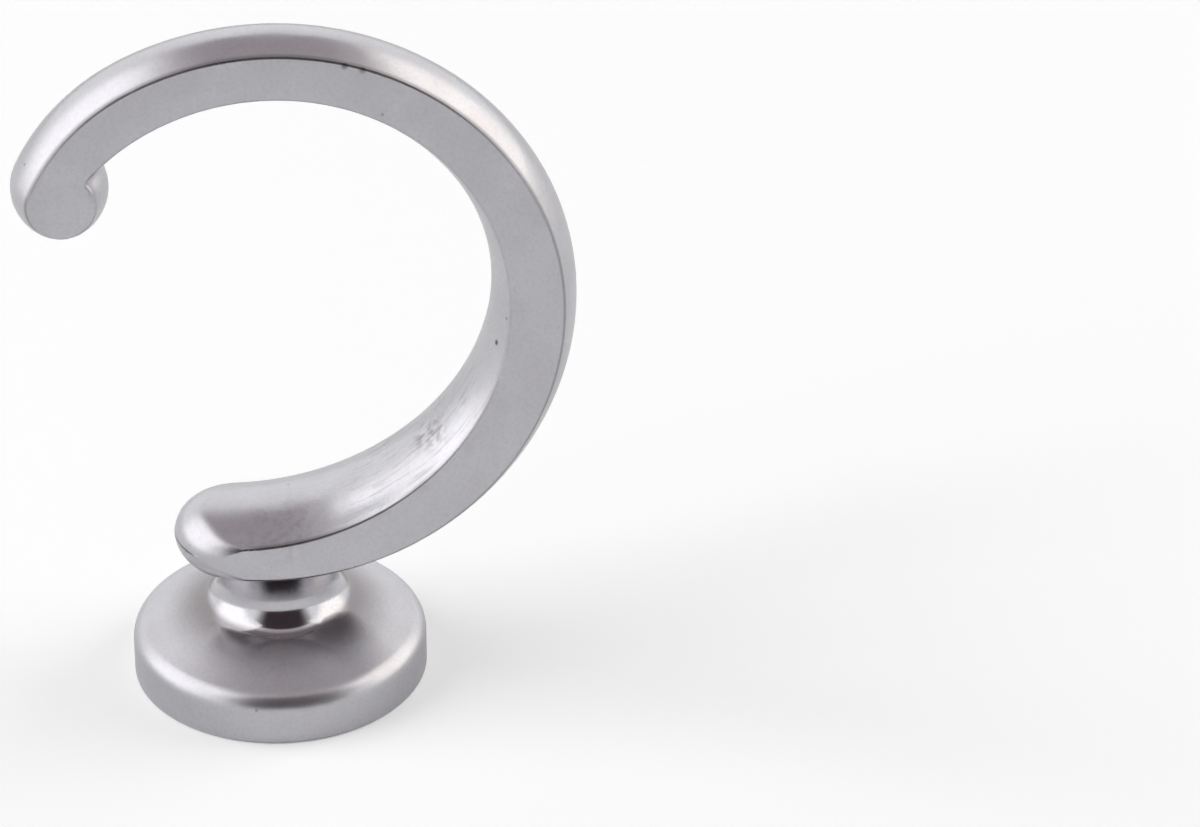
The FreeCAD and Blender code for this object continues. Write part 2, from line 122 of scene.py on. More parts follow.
# Height of the ring's foot, the depth of its leaning faces there and, carried on, at the wall, the height
# of the ring's centre, and how far from that centre its inner side starts and is full
FACE_FOOT = 11.8
FACE_DEPTH = 5.5
FACE_AT_WALL = FACE_DEPTH + FACE_FOOT * FACE_LEAN
RING_CENTRE = 36.4
INNER_SIDE = (21.2, 20.2)

# Regions of the finish, each a product of smooth steps: what is measured, where the step starts and where
# it is full. In millimetres, "forward" is the way along X, "height" the way up from the wall, "reach" the
# way from the upright axis, "ring" the way from the ring's centre and "sunk" the way in from the nearer
# face. "turn" is the angle round the ring in radians, and the others are levels of a noise.
BUFFED = (("turn", -1.5, -1.1), ("turn", -0.3, -0.6), ("ring", *INNER_SIDE))
REGIONS = {
    "neck": (("reach", 9.5, 6.4), ("height", 4.6, 5.4), ("height", 12.2, 11.6)),
    "rim": (("reach", 9.5, 11.0), ("height", 9.0, 8.0)),
    "behind_nose": (("forward", -NOSE_AXIS, 1.5 - NOSE_AXIS),),
    "above_nose": (("height", TONGUE_CROWN, TONGUE_CROWN + 1.0),),
    "buffed": BUFFED,
    "clouds": (("cloud", 0.35, 0.65),),
    "grain": (("grain", 0.4, 0.7),),
    "streaks": (*BUFFED, ("streak", 0.5, 0.7)),
    # Painted shade: the plating is darkened in the hollow round the neck
    "recess": (("reach", 10.4, 6.4), ("reach", 5.6, 6.2), ("height", 9.0, 7.6)),
    # Painted shade under the tongue, kept off its faces
    "keel": (
        ("reach", 6.0, 6.4), ("reach", 11.0, 8.0), ("height", 9.2, 9.8), ("height", 13.2, 11.9),
        ("sunk", 0.2, 0.8)),
    # Painted dark reflection along the rounded edges of the faces
    "edges": (("sunk", 0.0, 0.08), ("sunk", 0.4, 0.1), ("height", FACE_FOOT, FACE_FOOT + 0.2)),
    "rough": (("mottle", 0.42, 0.66),),
}

# Tints of the plating in its regions and pits, from the lowest layer up. Among them are painted shade in
# the hollow round the neck and under the tongue, and a painted dark reflection on the rounded edges.
TINTS_AND_PAINTED_SHADES = {
    "clouds": "#B3ADAE",
    "grain": "#8F8A8C",
    "streaks": "#8C8482",
    # Painted shade, darker and brownish, round the neck's hollow and under the tongue
    "recess": "#5C504E",
    "keel": "#54483F",
    # Painted dark reflection on the rounded edges
    "edges": "#6A6466",
    "rough": "#6E6464",
    "pits": "#40383A",
}

# How strong the tints, the painted shade and the painted dark reflection on the edges are. The edges have
# less of theirs inside the ring.
CLOUD_TINT = 0.12
GRAIN_TINT = 0.10
STREAK_TINT = 0.35
RECESS_PAINTED_SHADE = 0.6
KEEL_PAINTED_SHADE = 0.45
EDGE_PAINTED_REFLECTION_OUTSIDE = 0.55
EDGE_PAINTED_REFLECTION_INSIDE = 0.15

# Casting pits and edge dents, and rough patches, as centre, radius and strength from 0 to 1, and the share
# of the radius in which each kind has its full strength
PITS = (
    ((18.51, -2.99, 32.23), 0.36, 0.9),
    ((19.29, -3.68, 34.88), 0.2, 0.5),
    ((9.54, -3.2, 54.23), 0.22, 0.4),
    ((6.62, -2.96, 58.62), 0.4, 0.6),
    ((8.04, -2.98, 58.19), 0.4, 0.5),
    ((-19.16, -1.44, 50.49), 0.2, 0.5),
    ((1.23, 1.93, 16.53), 0.2, 0.5),
    ((-2.75, -12.1, 3.37), 0.2, 0.5),
)
ROUGH_PATCHES = (
    ((13.1, -1.4, 23.0), 2.8, 0.5),
    ((0.4, -3.4, 15.8), 4.2, 0.2),
)
PIT_CORE = 0.2
PATCH_CORE = 0.3

# Sizes of the patterns. Real buffing lines are under 0.1 mm wide, and these are wider so that they show.
# They are stretched along the ring, with this many widths to a radian.
CLOUD_SIZE = 5.0
MOTTLE_SIZE = 0.7
STREAK_WIDTH = 0.3
STREAKS_ALONG = 6.0

# Roughness that the clouds take or give, with the levels between which they do, and what the rim adds
CLOUD_LEVELS = (0.3, 0.7)
CLOUD_SATIN = 0.03
RIM_SATIN = 0.05

# Shares of the streaks and grain in the relief, from which pits and rough patches are taken, and how
# strong and deep it is
STREAK_RELIEF = 0.5
GRAIN_RELIEF = 0.2
RELIEF_STRENGTH = 0.25
RELIEF_DEPTH = 0.03

# Point of the hook that the lamps and cards face, and half the side of the floor
TARGET = np.array([0.0, 0.0, 0.03])
FLOOR_HALF = 3.0

# Cards that only the plating shows: azimuth and elevation, distance, width and height, colour and
# strength. Their colour fades to white between these shares of the width from the middle.
CARDS = (
    ("dark_room", 4, 22, 1.2, (2.9, 2.3), "#40373A", 1.0),
    ("top_light", 4, 69, 1.25, (1.8, 0.28), "#CFC9C7", 1.0),
    ("ceiling", 180, 84, 1.6, (4.4, 2.2), "#A69EA2", 1.0),
    ("window_left", -92, 32, 1.1, (1.7, 1.3), "#FFFFFF", 1.65),
    ("window_right", 98, 27, 1.1, (1.5, 1.1), "#FFFBF4", 1.6),
)
CARD_FADE = (0.2, 0.5)

# Lamps: azimuth and elevation, distance, width and height, and share of the window's power
LAMPS = (
    ("lamp_left", -92, 32, 0.8, (0.8, 0.8), 1.0),
    ("lamp_right", 102, 27, 0.8, (0.6, 0.6), 0.6),
)

# Camera's place and the width of its sensor, in millimetres
CAMERA_PLACE = (-17.02, -389.75, 264.9)
SENSOR_WIDTH = 36

WHITE = "#FFFFFF"


def linear(code):
    """Linear colour, with full opacity, of an sRGB hex code."""
    parts = [int(code[place:place + 2], 16) / 255 for place in (1, 3, 5)]
    curved = [part / 12.92 if part <= 0.04045 else ((part + 0.055) / 1.055) ** 2.4 for part in parts]
    return [*curved, 1.0]


def add_node(tree, kind, inputs=(), **settings):
    """Add a node with its settings. An input is a value, or a socket that is linked to it."""
    made = tree.nodes.new(kind)
    for name, value in settings.items():
        setattr(made, name, value)
    for name, value in dict(inputs).items():
        if isinstance(value, bpy.types.NodeSocket):
            tree.links.new(value, made.inputs[name])
        else:
            made.inputs[name].default_value = value
    return made


def bare_material(name):
    """New material with no nodes yet."""
    material = bpy.data.materials.new(name)
    material.use_nodes = True
    material.node_tree.nodes.clear()
    return material


def add_object(name, data):
    """New object in the scene, at the origin."""
    made = bpy.data.objects.new(name, data)
    bpy.context.scene.collection.objects.link(made)
    return made


def surface(name, points, faces):
    """Mesh of points and four-sided faces."""
    mesh = bpy.data.meshes.new(name)
    mesh.from_pydata(points, [], faces)
    return mesh


class HookFinish(bpy.types.PropertyGroup):
    """Finish of the casting."""

    nickel: FloatVectorProperty(
        name="Nickel", description="Colour of the satin plating", subtype="COLOR", size=4, min=0, max=1,
        default=linear("#D0CFD4"))
    satin: FloatProperty(
        name="Satin", description="Roughness of the satin faces", subtype="FACTOR", min=0, max=1,
        default=0.29)
    polish: FloatProperty(
        name="Polish", description="Roughness of the polished neck", subtype="FACTOR", min=0, max=1,
        default=0.12)
    grain: FloatProperty(
        name="Grain", description="Size of the plating's grain, coarse enough to show", unit="LENGTH",
        precision=5, min=0.01 * MM, default=0.3 * MM)


class HookStudio(bpy.types.PropertyGroup):
    """Camera and light."""

    heading: FloatProperty(
        name="Heading", description="Camera's heading, from +Y towards +X", subtype="ANGLE",
        default=math.radians(6.505))
    pitch: FloatProperty(
        name="Pitch", description="How far the camera looks down", subtype="ANGLE",
        default=math.radians(31.67))
    lens: FloatProperty(
        name="Lens", description="Focal length on a 36 mm sensor", unit="CAMERA", default=165)
    window: FloatProperty(
        name="Window", description="Power of the left lamp, of which the right one has a share",
        unit="POWER", default=5.0)
    fill: FloatProperty(
        name="Fill", description="Strength of the even light from all round", min=0, default=0.3)
    lift: FloatProperty(
        name="Lift", description="Glow of the paper to the camera, which lightens its shadows", min=0,
        default=0.25)
    paper: FloatVectorProperty(
        name="Paper", description="Colour of the floor", subtype="COLOR", size=4, min=0, max=1,
        default=linear("#F4F4F4"))


def spots(tree, place, rows, core):
    """Strongest of some round spots, each of which fades smoothly from its core out to its radius."""
    strongest = 0.0
    for centre, radius, strength in rows:
        away = add_node(tree, "ShaderNodeVectorMath", {0: place, 1: centre}, operation="DISTANCE")
        spot = add_node(tree, "ShaderNodeMapRange", {
            "Value": away.outputs["Value"], "From Min": radius, "From Max": core * radius,
            "To Max": strength}, interpolation_type="SMOOTHSTEP")
        strongest = add_node(tree, "ShaderNodeMath", {
            0: strongest, 1: spot.outputs[0]}, operation="MAXIMUM").outputs[0]
    return strongest


def plating_measures(tree, place, grain):
    """What the regions of the finish are measured by, by name, from a place in millimetres."""
    forward, sideways, height = add_node(tree, "ShaderNodeSeparateXYZ", {"Vector": place}).outputs
    level = add_node(tree, "ShaderNodeVectorMath", {0: place, 1: (1, 1, 0)}, operation="MULTIPLY")
    reach = add_node(tree, "ShaderNodeVectorMath", {0: level.outputs[0]}, operation="LENGTH")

    spoke = add_node(tree, "ShaderNodeMapping", {
        "Vector": place, "Location": (0, 0, -RING_CENTRE), "Scale": (1, 0, 1)})
    ring = add_node(tree, "ShaderNodeVectorMath", {0: spoke.outputs[0]}, operation="LENGTH")
    above = add_node(tree, "ShaderNodeMath", {0: height, 1: RING_CENTRE}, operation="SUBTRACT")
    turn = add_node(tree, "ShaderNodeMath", {0: above.outputs[0], 1: forward}, operation="ARCTAN2")

    aside = add_node(tree, "ShaderNodeMath", {0: sideways}, operation="ABSOLUTE")
    leaned = add_node(tree, "ShaderNodeMath", {
        0: height, 1: FACE_LEAN, 2: aside.outputs[0]}, operation="MULTIPLY_ADD")
    sunk = add_node(tree, "ShaderNodeMath", {0: FACE_AT_WALL, 1: leaned.outputs[0]}, operation="SUBTRACT")

    unrolled = add_node(tree, "ShaderNodeCombineXYZ", {"X": turn.outputs[0], "Y": sideways})
    stretched = add_node(tree, "ShaderNodeMapping", {
        "Vector": unrolled.outputs[0], "Scale": (STREAKS_ALONG, 1 / STREAK_WIDTH, 1)})
    measures = {
        "forward": forward,
        "height": height,
        "reach": reach.outputs["Value"],
        "ring": ring.outputs["Value"],
        "turn": turn.outputs[0],
        "sunk": sunk.outputs[0],
    }
    patterns = (
        ("streak", stretched.outputs[0], 1.0, 3),
        ("mottle", place, MOTTLE_SIZE, 4),
        ("cloud", place, CLOUD_SIZE, 3),
        ("grain", place, grain, 2),
    )
    for name, vector, size, detail in patterns:
        measures[name] = add_node(tree, "ShaderNodeTexNoise", {
            "Vector": vector, "Scale": 1 / size, "Detail": detail}).outputs["Fac"]
    return measures


def satin_nickel(finish):
    """Satin nickel plate on a zinc die casting.

    The casting is tumbled, plated and left satin, so it shows broad soft highlights and a fine even
    grain. The turned neck is buffed and mirrors the foot. Shade is painted into the plating's colour: it
    is darker and brownish in the hollow round the neck and under the tongue, and a painted dark
    reflection lies along the rounded edges. Small casting pits, rough patches and buffing streaks are
    left in the ring.
    """
    material = bare_material("satin_nickel_plate")
    tree = material.node_tree
    metres = add_node(tree, "ShaderNodeTexCoord").outputs["Object"]
    place = add_node(tree, "ShaderNodeVectorMath", {
        0: metres, "Scale": 1 / MM}, operation="SCALE").outputs[0]
    measures = plating_measures(tree, place, finish.grain / MM)

    def region(name, full=1.0):
        """Product of a region's smooth steps, each of which rises to what the one before it gave."""
        for measure, start, end in REGIONS[name]:
            full = add_node(tree, "ShaderNodeMapRange", {
                "Value": measures[measure], "From Min": start, "From Max": end, "To Max": full},
                interpolation_type="SMOOTHSTEP").outputs[0]
        return full

    # The painted dark reflection along the rounded edges is left off the nose, and is weaker inside the
    # ring
    off_nose = add_node(tree, "ShaderNodeMath", {
        0: region("behind_nose"), 1: region("above_nose")}, operation="MAXIMUM")
    edge_painted_reflection = add_node(tree, "ShaderNodeMapRange", {
        "Value": measures["ring"], "From Min": INNER_SIDE[0], "From Max": INNER_SIDE[1],
        "To Min": EDGE_PAINTED_REFLECTION_OUTSIDE, "To Max": EDGE_PAINTED_REFLECTION_INSIDE}, interpolation_type="SMOOTHSTEP")
    edges = add_node(tree, "ShaderNodeMath", {
        0: off_nose.outputs[0], 1: edge_painted_reflection.outputs[0]}, operation="MULTIPLY")

    shades = {
        "clouds": region("clouds", CLOUD_TINT),
        "grain": region("grain", GRAIN_TINT),
        "streaks": region("streaks", STREAK_TINT),
        # Painted shade round the neck's hollow and under the tongue
        "recess": region("recess", RECESS_PAINTED_SHADE),
        "keel": region("keel", KEEL_PAINTED_SHADE),
        # Painted dark reflection on the rounded edges
        "edges": region("edges", edges.outputs[0]),
        "rough": region("rough", spots(tree, place, ROUGH_PATCHES, PATCH_CORE)),
        "pits": spots(tree, place, PITS, PIT_CORE),
    }
    colour = list(finish.nickel)
    for name, code in TINTS_AND_PAINTED_SHADES.items():
        colour = add_node(tree, "ShaderNodeMix", {
            0: shades[name], 6: colour, 7: linear(code)}, data_type="RGBA").outputs[2]

    clouded = add_node(tree, "ShaderNodeMapRange", {
        "Value": measures["cloud"], "From Min": CLOUD_LEVELS[0], "From Max": CLOUD_LEVELS[1],
        "To Min": finish.satin - CLOUD_SATIN, "To Max": finish.satin + CLOUD_SATIN},
        interpolation_type="SMOOTHSTEP")
    satin = add_node(tree, "ShaderNodeMath", {
        0: clouded.outputs[0], 1: region("rim", RIM_SATIN)}, operation="ADD")
    roughness = add_node(tree, "ShaderNodeMix", {
        0: region("neck"), 2: satin.outputs[0], 3: finish.polish}, data_type="FLOAT")

    relief = 0.0
    layers = (
        (measures["streak"], region("buffed", STREAK_RELIEF)),
        (measures["grain"], GRAIN_RELIEF),
        (shades["pits"], -1.0),
        (shades["rough"], -1.0),
    )
    for layer, share in layers:
        relief = add_node(tree, "ShaderNodeMath", {
            0: layer, 1: share, 2: relief}, operation="MULTIPLY_ADD").outputs[0]
    bump = add_node(tree, "ShaderNodeBump", {
        "Height": relief, "Strength": RELIEF_STRENGTH, "Distance": RELIEF_DEPTH * MM})
    shader = add_node(tree, "ShaderNodeBsdfPrincipled", {
        "Base Color": colour, "Metallic": 1.0, "Roughness": roughness.outputs[0],
        "Normal": bump.outputs[0]})
    add_node(tree, "ShaderNodeOutputMaterial", {"Surface": shader.outputs[0]})
    return material


def bend(centre, radius, start, end, count):
    """Points of an arc in the foot's section.

    Each is the arc's centre plus its radius times the cosine and sine of an angle.
    """
    angles = np.linspace(start, end, count)
    return np.stack([centre[0] + radius * np.cos(angles), centre[1] + radius * np.sin(angles)], axis=1)


def foot_section():
    """Half section of the foot and neck, as radius and height, from the bore's end to the neck's root.

    It runs down the bore and its chamfered mouth, out along the underside, up the wall, round the rim, up
    the sloping top, through the hollow and up the flared neck into the tongue.
    """
    upwards = math.pi / 2 - FOOT_SLOPE
    square_to_top = np.array([math.cos(upwards), math.sin(upwards)])
    rim_centre = np.array([FOOT_RADIUS - FOOT_RIM, FOOT_WALL])
    top_outer = rim_centre + FOOT_RIM * square_to_top
    top_inner_r = NECK_WAIST + NECK_SCOOP - NECK_SCOOP * math.sin(FOOT_SLOPE)
    top_inner_z = top_outer[1] + (top_outer[0] - top_inner_r) * math.tan(FOOT_SLOPE)
    top_inner = np.array([top_inner_r, top_inner_z])
    scoop_centre = top_inner + NECK_SCOOP * square_to_top
    flare_centre = np.array([NECK_WAIST + NECK_FLARE, scoop_centre[1]])
    flare_turn = math.asin((NECK_ROOT - flare_centre[1]) / NECK_FLARE)
    mouth = BORE_RADIUS + BORE_CHAMFER
    break_centre = (FOOT_RADIUS - FOOT_BREAK, FOOT_BREAK)
    bore_tip = (0.0, BORE_DEPTH + BORE_RADIUS * math.tan(DRILL_POINT))
    count = FOOT_POINTS
    runs = (
        np.linspace(bore_tip, (BORE_RADIUS, BORE_DEPTH), count["drill_point"]),
        np.linspace((BORE_RADIUS, BORE_DEPTH), (BORE_RADIUS, BORE_CHAMFER), count["bore"]),
        np.linspace((BORE_RADIUS, BORE_CHAMFER), (mouth, 0), count["chamfer"]),
        np.linspace((mouth, 0), (FOOT_RADIUS - FOOT_BREAK, 0), count["underside"]),
        bend(break_centre, FOOT_BREAK, -math.pi / 2, 0, count["break"]),
        np.linspace((FOOT_RADIUS, FOOT_BREAK), (FOOT_RADIUS, FOOT_WALL), count["wall"]),
        bend(rim_centre, FOOT_RIM, 0, upwards, count["rim"]),
        np.linspace(top_outer, top_inner, count["top"]),
        bend(scoop_centre, NECK_SCOOP, math.pi + upwards, math.pi, count["scoop"]),
        bend(flare_centre, NECK_FLARE, math.pi, math.pi - flare_turn, count["flare"]),
    )
    return np.concatenate([runs[0], *(run[1:] for run in runs[1:])])


def keel_height(across, aside):
    """Height of the tongue's underside: a circle at the parting plane and a smaller one at the faces.

    Between the two it rises with the square of the way to the face.
    """
    middle = KEEL_CENTRE - np.sqrt(KEEL_RADIUS ** 2 - across ** 2)
    face = FACE_CENTRE - np.sqrt(FACE_RADIUS ** 2 - across ** 2)
    depth = NOSE_RADIUS + (TONGUE_EDGE - face) * FACE_LEAN
    return middle + (face - middle) * (aside / depth) ** 2


def face_centres(points, faces):
    """Middles of the faces, in millimetres."""
    return points[faces].mean(axis=1).T / MM


def turned_foot(name):
    """Surface of revolution of the foot's section, with the bolt's thread in its bore.

    A point lies at the section's radius and height, turned round the upright axis. In the bore, the
    radius grows by a triangle wave of height over pitch less turn over a full turn, which is a helical
    groove. The groove fades out at both ends of the bore. The neck ends just inside the tongue.
    """
    section = foot_section()
    turns = np.linspace(0, 2 * math.pi, FOOT_STEPS, endpoint=False)
    radius = np.repeat(section[:, :1], FOOT_STEPS, axis=1)
    height = np.repeat(section[:, 1:], FOOT_STEPS, axis=1)
    phase = height / THREAD_PITCH - turns / (2 * math.pi)
    groove = 2 * np.abs(phase - np.floor(phase + 0.5))
    low = np.clip((height - BORE_CHAMFER) / THREAD_PITCH, 0, 1)
    high = np.clip((BORE_DEPTH - height) / (2 * THREAD_PITCH), 0, 1)
    radius = radius + np.isclose(radius, BORE_RADIUS) * low * high * groove * THREAD_DEPTH
    points = np.stack([radius * np.cos(turns), radius * np.sin(turns), height], axis=2) * MM
    points = points.reshape(-1, 3)

    row = np.arange(len(section) - 1)[:, None] * FOOT_STEPS
    step = np.arange(FOOT_STEPS)[None, :]
    after = (step + 1) % FOOT_STEPS
    faces = np.stack([row + step, row + after, row + after + FOOT_STEPS, row + step + FOOT_STEPS], axis=2)
    faces = faces.reshape(-1, 4)
    x, y, z = face_centres(points, faces)
    bore = np.hypot(x, y) < (BORE_RADIUS + NECK_WAIST) / 2
    return surface(name, points, faces[bore | (z < keel_height(x, y) + OVERLAP)])


def rounded(start, knee, end):
    """Rounded corner between two points, as a conic arc whose two tangents meet at the knee.

    A point is a mean of the start, the knee and the end. Their weights are the square of the share of
    the way that is left, twice the product of both shares times the corner's own weight, and the square
    of the share that is done.
    """
    done = np.linspace(0, 1, CORNER_POINTS)[None, :, None]
    weights = [(1 - done) ** 2, 2 * CORNER_WEIGHT * done * (1 - done), done ** 2]
    points = weights[0] * start[:, None] + weights[1] * knee[:, None] + weights[2] * end[:, None]
    return points / sum(weights)


def round_nose(name):
    """Nose of the tongue: half sections that turn about an upright axis, from one face to the other.

    A half section runs out along the crown, round a corner, down the leaning wall, round a second corner
    and back along the keel. The corners' legs grow with the cosine of the turn, from the edges' rounding
    at the faces to a full bull nose at the tip. The keel ends just inside the neck.
    """
    turn = np.linspace(-math.pi / 2, math.pi / 2, NOSE_STEPS)
    ahead, aside = np.cos(turn)[:, None], np.sin(turn)[:, None]

    def crown(reach):
        """Height of the top, which falls to the face's edge with the square of the way to the face."""
        return TONGUE_CROWN - (TONGUE_CROWN - TONGUE_EDGE) * (reach * aside / NOSE_RADIUS) ** 2

    def keel(reach):
        """Height of the underside."""
        return keel_height(NOSE_AXIS + reach * ahead, reach * aside)

    def wall(height):
        """Way out to the wall, which leans in as it rises."""
        return NOSE_RADIUS + (TONGUE_EDGE - height) * FACE_LEAN

    def side(height_at, leg):
        """Points from the axis out to the corner, and the knee where the side would meet the wall."""
        knee_reach = wall(height_at(np.full((NOSE_STEPS, 1), NOSE_RADIUS)))
        knee = np.concatenate([knee_reach, height_at(knee_reach)], axis=1)
        reach = np.linspace(0, 1, SIDE_POINTS)[None, :] * (knee_reach - leg)
        return np.stack([reach, height_at(reach)], axis=2), knee

    crown_leg = EDGE_LEG + CROWN_LEG * ahead
    keel_leg = EDGE_LEG + KEEL_LEG * ahead
    top, top_knee = side(crown, crown_leg)
    bottom, bottom_knee = side(keel, keel_leg)
    wall_top = top_knee[:, 1:] - crown_leg
    wall_bottom = bottom_knee[:, 1:] + keel_leg
    upper = np.concatenate([wall(wall_top), wall_top], axis=1)
    lower = np.concatenate([wall(wall_bottom), wall_bottom], axis=1)
    section = np.concatenate([
        top[:, :-1],
        rounded(top[:, -1], top_knee, upper),
        rounded(lower, bottom_knee, bottom[:, -1]),
        bottom[:, -2::-1],
    ], axis=1)
    reach, height = section[..., 0], section[..., 1]
    points = np.stack([-NOSE_AXIS - reach * ahead, reach * aside, height], axis=2) * MM
    points = points.reshape(-1, 3)

    count = section.shape[1]
    row = np.arange(NOSE_STEPS - 1)[:, None] * count
    step = np.arange(count - 1)[None, :]
    faces = np.stack([row + step, row + count + step, row + count + step + 1, row + step + 1], axis=2)
    faces = faces.reshape(-1, 4)
    x, y, z = face_centres(points, faces)
    neck = foot_section()[-FOOT_POINTS["flare"]:]
    outside = np.hypot(x, y) > np.interp(z, neck[:, 1], neck[:, 0]) - OVERLAP
    return surface(name, points, faces[outside | (z > NECK_ROOT)])


def on_foot(points):
    """Which points lie on the foot's section, by their least distance from its straight pieces."""
    section = foot_section()
    flat = np.stack([np.hypot(points[:, 0], points[:, 1]), points[:, 2]], axis=1) / MM
    start, run = section[:-1], np.diff(section, axis=0)
    way = flat[:, None, :] - start[None]
    along = np.clip((way * run).sum(axis=2) / (run * run).sum(axis=1), 0, 1)
    return np.linalg.norm(way - along[..., None] * run, axis=2).min(axis=1) < ON_SECTION


def smooth_copy(source, name):
    """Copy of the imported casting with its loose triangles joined, and its foot and nose turned afresh.

    The faces on the foot's section are deleted, the tongue is cut off at the nose's axis, and the new
    surfaces take their places. Every edge of the ring is rounded, so its flat faces keep their normals up
    to their borders, and the rounded strips between them turn smoothly from one to the next.
    """
    form = bmesh.new()
    form.from_mesh(source.data)
    bmesh.ops.remove_doubles(form, verts=form.verts, dist=SAME_POINT * MM)
    form.verts.index_update()
    turned = on_foot(np.array([vertex.co for vertex in form.verts]))
    foot = [face for face in form.faces if all(turned[vertex.index] for vertex in face.verts)]
    bmesh.ops.delete(form, geom=foot, context="FACES")
    tongue = [face for face in form.faces if face.calc_center_median().z < TONGUE_CROWN * MM]
    bordering = dict.fromkeys(item for face in tongue for item in (*face.verts, *face.edges))
    bmesh.ops.bisect_plane(
        form, geom=[*bordering, *tongue], dist=ON_CUT * MM, plane_co=(-NOSE_AXIS * MM, 0, 0),
        plane_no=(1, 0, 0), clear_inner=True)
    for afresh in (turned_foot("turned_foot"), round_nose("round_nose")):
        form.from_mesh(afresh)
        bpy.data.meshes.remove(afresh)
    bmesh.ops.remove_doubles(form, verts=form.verts, dist=SAME_POINT * MM)
    mesh = bpy.data.meshes.new(name)
    form.to_mesh(mesh)
    form.free()
    mesh.materials.clear()
    mesh.shade_smooth()
    made = add_object(name, mesh)
    normals = made.modifiers.new("face_led_normals", "WEIGHTED_NORMAL")
    normals.mode = "FACE_AREA"
    normals.weight = 50
    return made


class HOOK_OT_casting(bpy.types.Operator):
    """Show the casting with smooth surfaces, its thread and its satin nickel plate"""

    bl_idname = "hook.casting"
    bl_label = "Casting"

    def execute(self, context):
        casting = smooth_copy(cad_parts[CASTING], "plated_casting")
        casting.data.materials.append(satin_nickel(context.scene.hook_finish))
        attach(casting, "root")
        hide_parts(CASTING)
        return {"FINISHED"}


def paper(studio):
    """Matt white paper: diffuse, so that it keeps the hook's shadow, and near white to the camera."""
    material = bare_material("matt_paper")
    tree = material.node_tree
    path = add_node(tree, "ShaderNodeLightPath")
    lift = add_node(tree, "ShaderNodeMath", {
        0: path.outputs["Is Camera Ray"], 1: studio.lift}, operation="MULTIPLY")
    matt = add_node(tree, "ShaderNodeBsdfDiffuse", {"Color": list(studio.paper)})
    glow = add_node(tree, "ShaderNodeEmission", {"Color": linear(WHITE), "Strength": lift.outputs[0]})
    both = add_node(tree, "ShaderNodeAddShader", {0: matt.outputs[0], 1: glow.outputs[0]})
    add_node(tree, "ShaderNodeOutputMaterial", {"Surface": both.outputs[0]})
    return material


def card_cloth(name, centre, right, width, colour, strength):
    """Glowing cloth of a card. Its colour fades smoothly to plain white at both sides."""
    material = bare_material(name)
    tree = material.node_tree
    place = add_node(tree, "ShaderNodeTexCoord").outputs["Object"]
    offset = add_node(tree, "ShaderNodeVectorMath", {0: place, 1: centre}, operation="SUBTRACT")
    aside = add_node(tree, "ShaderNodeVectorMath", {
        0: offset.outputs[0], 1: right}, operation="DOT_PRODUCT")
    far = add_node(tree, "ShaderNodeMath", {0: aside.outputs["Value"]}, operation="ABSOLUTE")
    fade = add_node(tree, "ShaderNodeMapRange", {
        "Value": far.outputs[0], "From Min": CARD_FADE[0] * width, "From Max": CARD_FADE[1] * width},
        interpolation_type="SMOOTHSTEP")
    glow = [part * strength for part in linear(colour)[:3]] + [1.0]
    shown = add_node(tree, "ShaderNodeMix", {
        0: fade.outputs[0], 6: glow, 7: linear(WHITE)}, data_type="RGBA")
    shader = add_node(tree, "ShaderNodeEmission", {"Color": shown.outputs[2], "Strength": 1.0})
    add_node(tree, "ShaderNodeOutputMaterial", {"Surface": shader.outputs[0]})
    return material


def sheet(name, corners, material):
    """Flat sheet through four corners, as a piece of the stage."""
    mesh = surface(name, corners, [(0, 1, 2, 3)])
    mesh.materials.append(material)
    made = add_object(name, mesh)
    return made


def facing(azimuth, elevation, distance):
    """Place at a distance from the hook, and the two directions across the way to it.

    The azimuth counts from the hook's front, towards +X.
    """
    level = math.cos(elevation)
    ahead = np.array([math.sin(azimuth) * level, -math.cos(azimuth) * level, math.sin(elevation)])
    right = np.array([math.cos(azimuth), math.sin(azimuth), 0])
    return TARGET + distance * ahead, right, np.cross(right, ahead)


def card(name, azimuth, elevation, distance, size, colour, strength):
    """Card that faces the hook and is only seen in its plating."""
    place, right, upright = facing(math.radians(azimuth), math.radians(elevation), distance)
    across = right * size[0] / 2
    along = upright * size[1] / 2
    corners = [
        place - across - along, place + across - along, place + across + along, place - across + along]
    cloth = card_cloth(f"{name}_cloth", place, right, size[0], colour, strength)
    made = sheet(name, [tuple(point) for point in corners], cloth)
    made.visible_camera = False
    made.visible_diffuse = False
    made.visible_shadow = False


def softbox(name, azimuth, elevation, distance, size, power):
    """Rectangular area lamp that faces the hook and isn't seen in its plating."""
    lamp = bpy.data.lights.new(name, "AREA")
    lamp.shape = "RECTANGLE"
    lamp.size, lamp.size_y = size
    lamp.energy = power
    made = add_object(name, lamp)
    made.location = facing(math.radians(azimuth), math.radians(elevation), distance)[0]
    made.rotation_euler = (math.radians(90 - elevation), 0, math.radians(azimuth))
    made.visible_camera = False
    made.visible_glossy = False


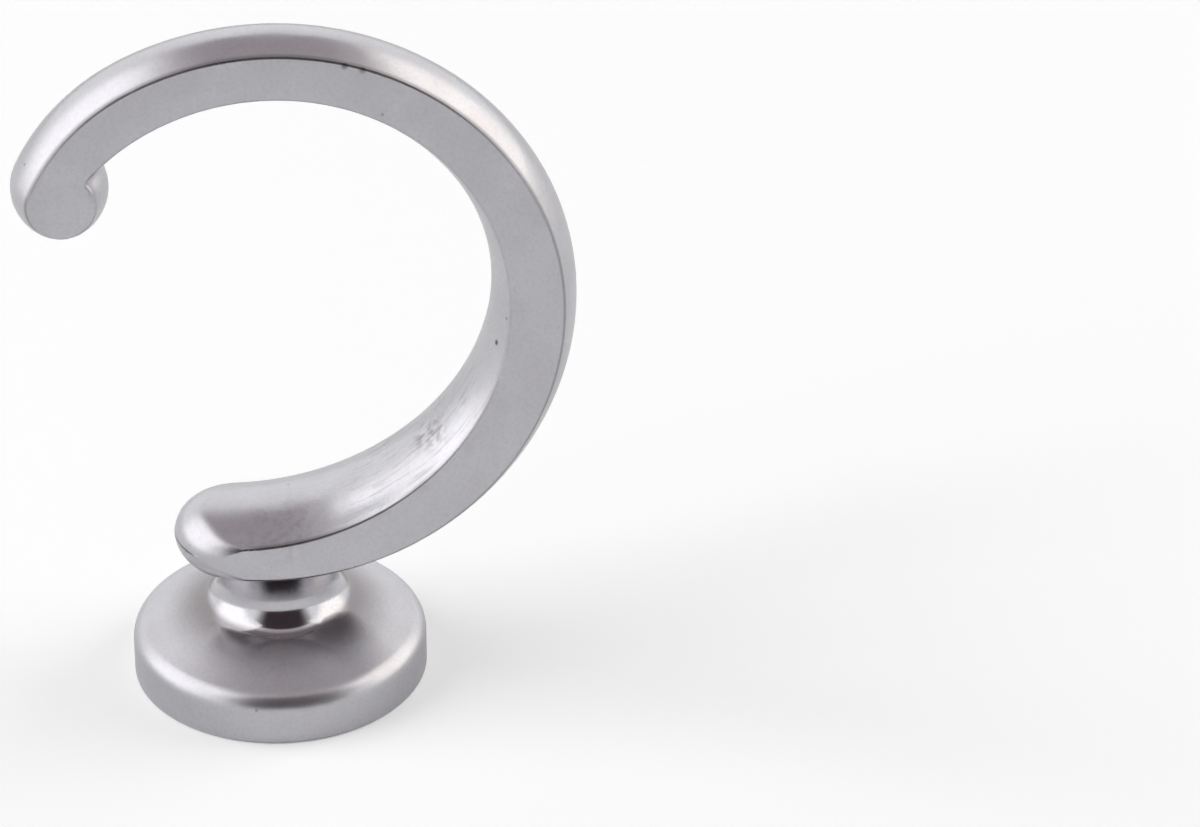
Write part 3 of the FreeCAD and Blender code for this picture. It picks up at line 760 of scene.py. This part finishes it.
def white_world(studio):
    """World that is plain white behind the hook and in its reflections, and lights it evenly."""
    world = bpy.data.worlds.new("white_room")
    bpy.context.scene.world = world
    world.use_nodes = True
    tree = world.node_tree
    tree.nodes.clear()
    path = add_node(tree, "ShaderNodeLightPath")
    mirrored = add_node(tree, "ShaderNodeMath", {
        0: path.outputs["Is Camera Ray"], 1: path.outputs["Is Glossy Ray"]}, operation="MAXIMUM")
    shown = add_node(tree, "ShaderNodeMath", {
        0: mirrored.outputs[0], 1: path.outputs["Is Transmission Ray"]}, operation="MAXIMUM")
    strength = add_node(tree, "ShaderNodeMapRange", {
        "Value": shown.outputs[0], "To Min": studio.fill, "To Max": 1.0})
    light = add_node(tree, "ShaderNodeBackground", {
        "Color": linear(WHITE), "Strength": strength.outputs[0]})
    add_node(tree, "ShaderNodeOutputWorld", {"Surface": light.outputs[0]})


class HOOK_OT_stage(bpy.types.Operator):
    """Lay the floor, set up the lamps and cards, and aim the camera"""

    bl_idname = "hook.stage"
    bl_label = "Stage"

    def execute(self, context):
        studio = context.scene.hook_studio
        low, high = -FLOOR_HALF, FLOOR_HALF
        sheet("floor", [(low, low, 0), (high, low, 0), (high, high, 0), (low, high, 0)], paper(studio))
        for row in CARDS:
            card(*row)
        for name, azimuth, elevation, distance, size, share in LAMPS:
            softbox(name, azimuth, elevation, distance, size, studio.window * share)
        white_world(studio)

        camera = bpy.data.cameras.new("camera")
        camera.lens = studio.lens
        camera.sensor_width = SENSOR_WIDTH
        made = add_object("camera", camera)
        made.location = [part * MM for part in CAMERA_PLACE]
        made.rotation_euler = (math.pi / 2 - studio.pitch, 0, -studio.heading)
        context.scene.camera = made
        context.scene.view_settings.view_transform = "Standard"
        return {"FINISHED"}


class VIEW3D_PT_hook(bpy.types.Panel):
    """Lists the steps and their settings"""

    bl_label = "Curtain Hook"
    bl_space_type = "VIEW_3D"
    bl_region_type = "UI"
    bl_category = "Curtain Hook"

    def draw(self, context):
        column = self.layout.column()
        for group in (context.scene.hook_finish, context.scene.hook_studio):
            for name in group.__annotations__:
                column.prop(group, name)
        for step in STEPS:
            column.operator(step.bl_idname)


STEPS = (HOOK_OT_casting, HOOK_OT_stage)
CLASSES = (HookFinish, HookStudio, *STEPS, VIEW3D_PT_hook)


def register():
    """Add the classes and the scene's settings."""
    for kind in CLASSES:
        bpy.utils.register_class(kind)
    bpy.types.Scene.hook_finish = PointerProperty(type=HookFinish)
    bpy.types.Scene.hook_studio = PointerProperty(type=HookStudio)


def unregister():
    """Take them away again."""
    del bpy.types.Scene.hook_studio
    del bpy.types.Scene.hook_finish
    for kind in reversed(CLASSES):
        bpy.utils.unregister_class(kind)


def main():
    """Run every step."""
    register()
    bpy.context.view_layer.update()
    bpy.ops.hook.casting()
    bpy.ops.hook.stage()


if __name__ == "__main__":
    main()
